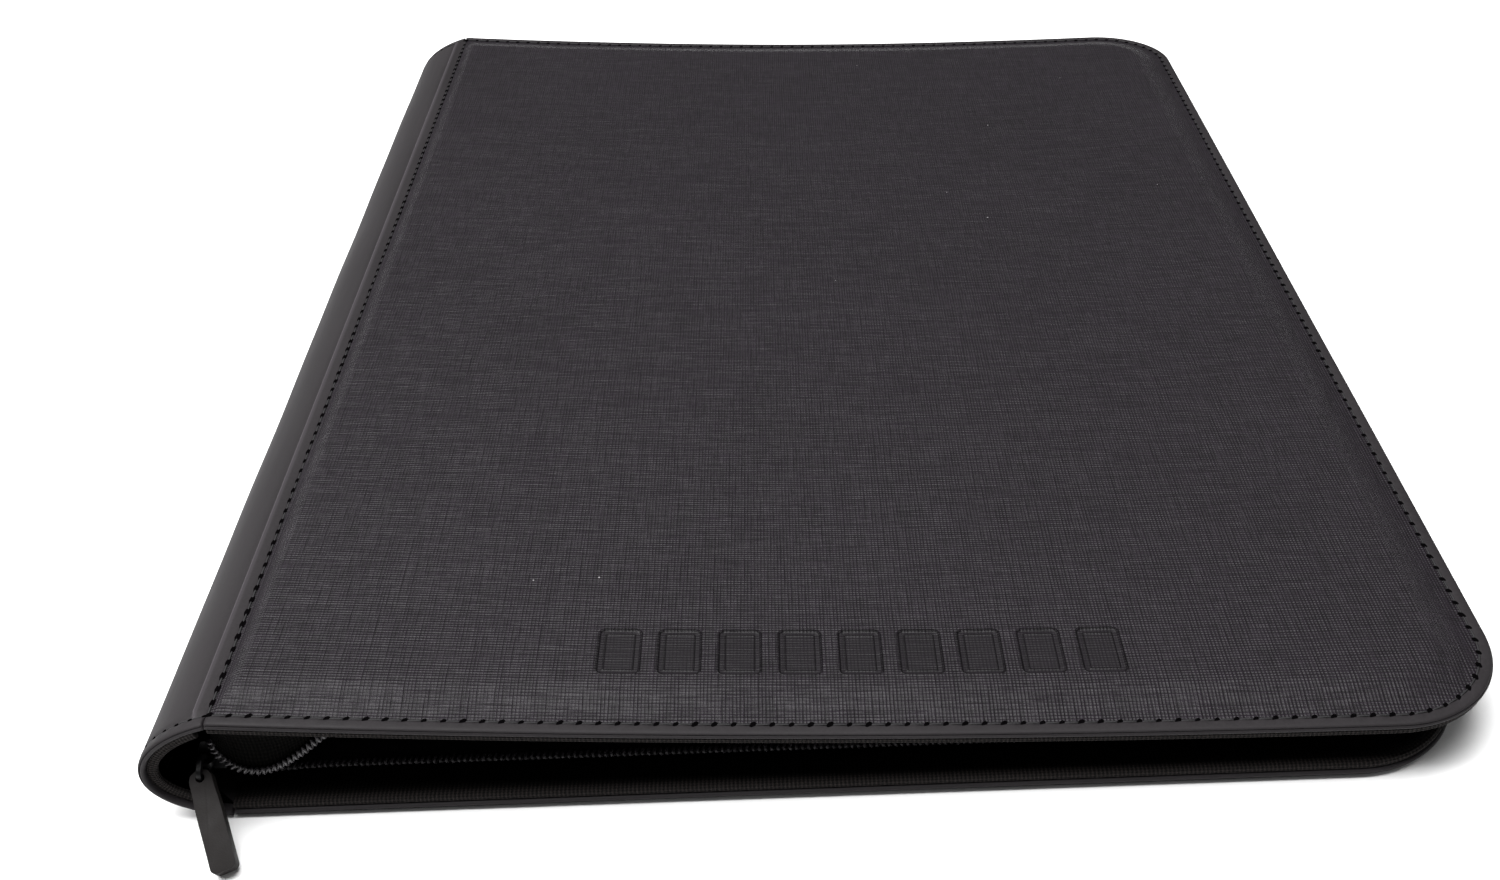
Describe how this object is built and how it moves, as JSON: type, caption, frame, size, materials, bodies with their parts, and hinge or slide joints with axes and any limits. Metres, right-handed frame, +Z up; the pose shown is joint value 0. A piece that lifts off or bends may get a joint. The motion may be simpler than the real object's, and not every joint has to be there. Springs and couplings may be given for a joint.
{
  "type": "trading card binder",
  "caption": "Zip-around card binder with padded faux-leather covers, a soft spine, pocket leaves and a side-opening zip, lying part-open with its zip undone.",
  "frame": {"origin": "centre of the back cover's outer face, which lies on the table", "axes": "+X from the spine to the fore edge, +Y along the spine away from the zip slider, +Z up through the front cover"},
  "size_m": [0.267, 0.3555, 0.0267],
  "materials": {
    "cover_leather": "linen-grain faux leather, matte",
    "spine_leather": "smooth faux leather, satin matte",
    "binding_leather": "smooth faux leather, rolled",
    "foam": "thin foam pad",
    "board": "grey board",
    "lining_cloth": "black woven lining",
    "thread": "black bonded thread",
    "zip_tape": "woven zip tape",
    "zip_coil": "nylon coil, satin",
    "zip_metal": "black enamelled zinc",
    "pull_rubber": "moulded soft pull, matte",
    "leaf_film": "clear pocket film welded to a black backing"
  },
  "bodies": {
    "back_cover": {"back_skin": "cover_leather", "back_foam": "foam", "back_board": "board", "back_lining": "lining_cloth", "back_edge_binding": "binding_leather", "back_zip_tape": "zip_tape", "back_edge_thread": "thread", "back_seam_thread": "thread", "back_top_stop": "zip_metal", "back_zip_coil": "zip_coil", "zip_bottom_stop": "zip_metal"},
    "spine": {"spine_skin": "spine_leather", "spine_lining": "lining_cloth", "spine_near_band": "zip_tape", "spine_far_band": "zip_tape", "page_binding_strip": "lining_cloth", "page_hinge_flange": "lining_cloth"},
    "front_cover": {"front_skin": "cover_leather", "front_foam": "foam", "front_board": "board", "front_lining": "lining_cloth", "front_edge_binding": "binding_leather", "front_zip_tape": "zip_tape", "front_edge_thread": "thread", "front_seam_thread": "thread", "front_top_stop": "zip_metal", "front_zip_coil": "zip_coil", "front_zip_tail_tape": "zip_tape"},
    "zip_slider": {"zip_slider": "zip_metal"},
    "zip_pull": {"pull_loop": "zip_metal", "pull_tab": "pull_rubber"},
    "leaf_01": {"leaf_01": "leaf_film"},
    "leaf_02": {"leaf_02": "leaf_film"},
    "leaf_03": {"leaf_03": "leaf_film"},
    "leaf_04": {"leaf_04": "leaf_film"},
    "leaf_05": {"leaf_05": "leaf_film"},
    "leaf_06": {"leaf_06": "leaf_film"},
    "leaf_07": {"leaf_07": "leaf_film"},
    "leaf_08": {"leaf_08": "leaf_film"},
    "leaf_09": {"leaf_09": "leaf_film"},
    "leaf_10": {"leaf_10": "leaf_film"},
    "leaf_11": {"leaf_11": "leaf_film"},
    "leaf_12": {"leaf_12": "leaf_film"}
  },
  "joints": [
    {"name": "front_cover_fold", "type": "hinge", "parent": "spine", "child": "front_cover", "pos_m": [-0.1215, 0, 0.026], "axis": [0, -1, 0], "range_deg": [0, 92.7]},
    {"name": "spine_fold", "type": "hinge", "parent": "back_cover", "child": "spine", "pos_m": [-0.1215, 0, 0], "axis": [0, -1, 0], "range_deg": [0, 90], "deforming": ["spine_skin", "spine_lining", "spine_near_band", "spine_far_band", "page_hinge_flange"]},
    {"name": "zip_slide", "type": "slide", "parent": "back_cover", "child": "zip_slider", "axis": [1, 0, 0], "range_m": [0, 0.078], "deforming": ["front_zip_coil", "front_zip_tail_tape", "back_zip_coil"]},
    {"name": "pull_swing", "type": "hinge", "parent": "zip_slider", "child": "zip_pull", "pos_m": [-0.12535, -0.1664, 0.0116], "axis": [-1, 0, 0], "range_deg": [0, 60]},
    {"name": "leaf_01_turn", "type": "hinge", "parent": "spine", "child": "leaf_01", "pos_m": [-0.1177, 0, 0.00365], "axis": [0, -1, 0], "range_deg": [-81.43, 0]},
    {"name": "leaf_02_turn", "type": "hinge", "parent": "spine", "child": "leaf_02", "pos_m": [-0.1177, 0, 0.0041], "axis": [0, -1, 0], "range_deg": [-66.72, 0]},
    {"name": "leaf_03_turn", "type": "hinge", "parent": "spine", "child": "leaf_03", "pos_m": [-0.1177, 0, 0.00455], "axis": [0, -1, 0], "range_deg": [-51.99, 0]},
    {"name": "leaf_04_turn", "type": "hinge", "parent": "spine", "child": "leaf_04", "pos_m": [-0.1177, 0, 0.005], "axis": [0, -1, 0], "range_deg": [-37.28, 0]},
    {"name": "leaf_05_turn", "type": "hinge", "parent": "spine", "child": "leaf_05", "pos_m": [-0.1177, 0, 0.00545], "axis": [0, -1, 0], "range_deg": [-22.57, 0]},
    {"name": "leaf_06_turn", "type": "hinge", "parent": "spine", "child": "leaf_06", "pos_m": [-0.1177, 0, 0.0059], "axis": [0, -1, 0], "range_deg": [-7.86, 0]},
    {"name": "leaf_07_turn", "type": "hinge", "parent": "spine", "child": "leaf_07", "pos_m": [-0.1177, 0, 0.00635], "axis": [0, -1, 0], "range_deg": [0, 7.86]},
    {"name": "leaf_08_turn", "type": "hinge", "parent": "spine", "child": "leaf_08", "pos_m": [-0.1177, 0, 0.0068], "axis": [0, -1, 0], "range_deg": [0, 22.57]},
    {"name": "leaf_09_turn", "type": "hinge", "parent": "spine", "child": "leaf_09", "pos_m": [-0.1177, 0, 0.00725], "axis": [0, -1, 0], "range_deg": [0, 37.28]},
    {"name": "leaf_10_turn", "type": "hinge", "parent": "spine", "child": "leaf_10", "pos_m": [-0.1177, 0, 0.0077], "axis": [0, -1, 0], "range_deg": [0, 51.99]},
    {"name": "leaf_11_turn", "type": "hinge", "parent": "spine", "child": "leaf_11", "pos_m": [-0.1177, 0, 0.00815], "axis": [0, -1, 0], "range_deg": [0, 66.72]},
    {"name": "leaf_12_turn", "type": "hinge", "parent": "spine", "child": "leaf_12", "pos_m": [-0.1177, 0, 0.0086], "axis": [0, -1, 0], "range_deg": [0, 81.43]}
  ],
  "couplings": [
    {"joint": "spine_fold", "follows": "front_cover_fold", "ratio": 0.97},
    {"joint": "leaf_01_turn", "follows": "front_cover_fold", "ratio": -0.873},
    {"joint": "leaf_02_turn", "follows": "front_cover_fold", "ratio": -0.7143},
    {"joint": "leaf_03_turn", "follows": "front_cover_fold", "ratio": -0.5555},
    {"joint": "leaf_04_turn", "follows": "front_cover_fold", "ratio": -0.3968},
    {"joint": "leaf_05_turn", "follows": "front_cover_fold", "ratio": -0.2381},
    {"joint": "leaf_06_turn", "follows": "front_cover_fold", "ratio": -0.0794},
    {"joint": "leaf_07_turn", "follows": "front_cover_fold", "ratio": 0.0794},
    {"joint": "leaf_08_turn", "follows": "front_cover_fold", "ratio": 0.2381},
    {"joint": "leaf_09_turn", "follows": "front_cover_fold", "ratio": 0.3968},
    {"joint": "leaf_10_turn", "follows": "front_cover_fold", "ratio": 0.5555},
    {"joint": "leaf_11_turn", "follows": "front_cover_fold", "ratio": 0.7143},
    {"joint": "leaf_12_turn", "follows": "front_cover_fold", "ratio": 0.873}
  ]
}
